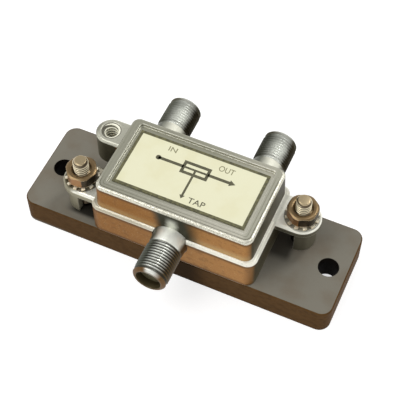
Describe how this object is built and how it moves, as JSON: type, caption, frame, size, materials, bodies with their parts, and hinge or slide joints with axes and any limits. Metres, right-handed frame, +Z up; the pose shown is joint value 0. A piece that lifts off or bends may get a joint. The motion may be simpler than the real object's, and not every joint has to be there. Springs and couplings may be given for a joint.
{
  "type": "coaxial cable tap",
  "caption": "Coaxial cable tap: plated die-cast box on a flat mounting plate, threaded ports at back and front, ground boss, and nuts with tooth washers on ear studs.",
  "frame": {"origin": "middle of the base plate's underside, halfway between its two screw holes", "axes": "+Z up from the mounting surface, +X along the plate from the input port's side to the output port's side, +Y the way the two back ports point; the tap port points along -Y"},
  "size_m": [0.089, 0.0546, 0.0265],
  "materials": {
    "plate": "satin warm grey moulding",
    "casting": "nickel plated die casting",
    "cover": "plated sheet",
    "label": "cream print with an olive border",
    "barrel": "nickel plated turned brass",
    "screw": "plated steel",
    "washer": "plated spring steel",
    "nut": "plated steel, warm tone",
    "insulator": "white moulding",
    "contact": "bare brass",
    "board": "green laminate",
    "ferrite": "sintered ferrite",
    "wire": "enamelled copper",
    "resistor": "glazed chip",
    "capacitor": "ceramic chip"
  },
  "bodies": {
    "base": {"base_plate": "plate", "capacitor_in": "capacitor", "capacitor_out": "capacitor", "capacitor_tap": "capacitor", "circuit_board": "board", "cover_plate": "cover", "current_core": "ferrite", "current_winding": "wire", "housing": "casting", "label_plate": "label", "port_in_barrel": "barrel", "port_in_contact": "contact", "port_in_insulator": "insulator", "port_out_barrel": "barrel", "port_out_contact": "contact", "port_out_insulator": "insulator", "port_tap_barrel": "barrel", "port_tap_contact": "contact", "port_tap_insulator": "insulator", "screw_left": "screw", "screw_right": "screw", "terminating_resistor": "resistor", "voltage_core": "ferrite", "voltage_winding": "wire"},
    "washer_left_body": {"washer_left": "washer"},
    "nut_left_body": {"nut_left": "nut"},
    "washer_right_body": {"washer_right": "washer"},
    "nut_right_body": {"nut_right": "nut"}
  },
  "joints": [
    {"name": "washer_left_lift", "type": "slide", "parent": "base", "child": "washer_left_body", "axis": [0, 0, 1], "range_m": [0, 0.0068]},
    {"name": "nut_left_turn", "type": "hinge", "parent": "washer_left_body", "child": "nut_left_body", "pos_m": [-0.0288, -0.0066, 0.02075], "axis": [0, 0, 1], "range_deg": [0, 3084.1]},
    {"name": "washer_right_lift", "type": "slide", "parent": "base", "child": "washer_right_body", "axis": [0, 0, 1], "range_m": [0, 0.0068]},
    {"name": "nut_right_turn", "type": "hinge", "parent": "washer_right_body", "child": "nut_right_body", "pos_m": [0.0288, 0.0057, 0.02075], "axis": [0, 0, 1], "range_deg": [0, 3084.1]}
  ],
  "couplings": [
    {"joint": "nut_left_turn", "follows": "washer_left_lift", "rad_per_m": 7915.8},
    {"joint": "nut_right_turn", "follows": "washer_right_lift", "rad_per_m": 7915.8}
  ]
}
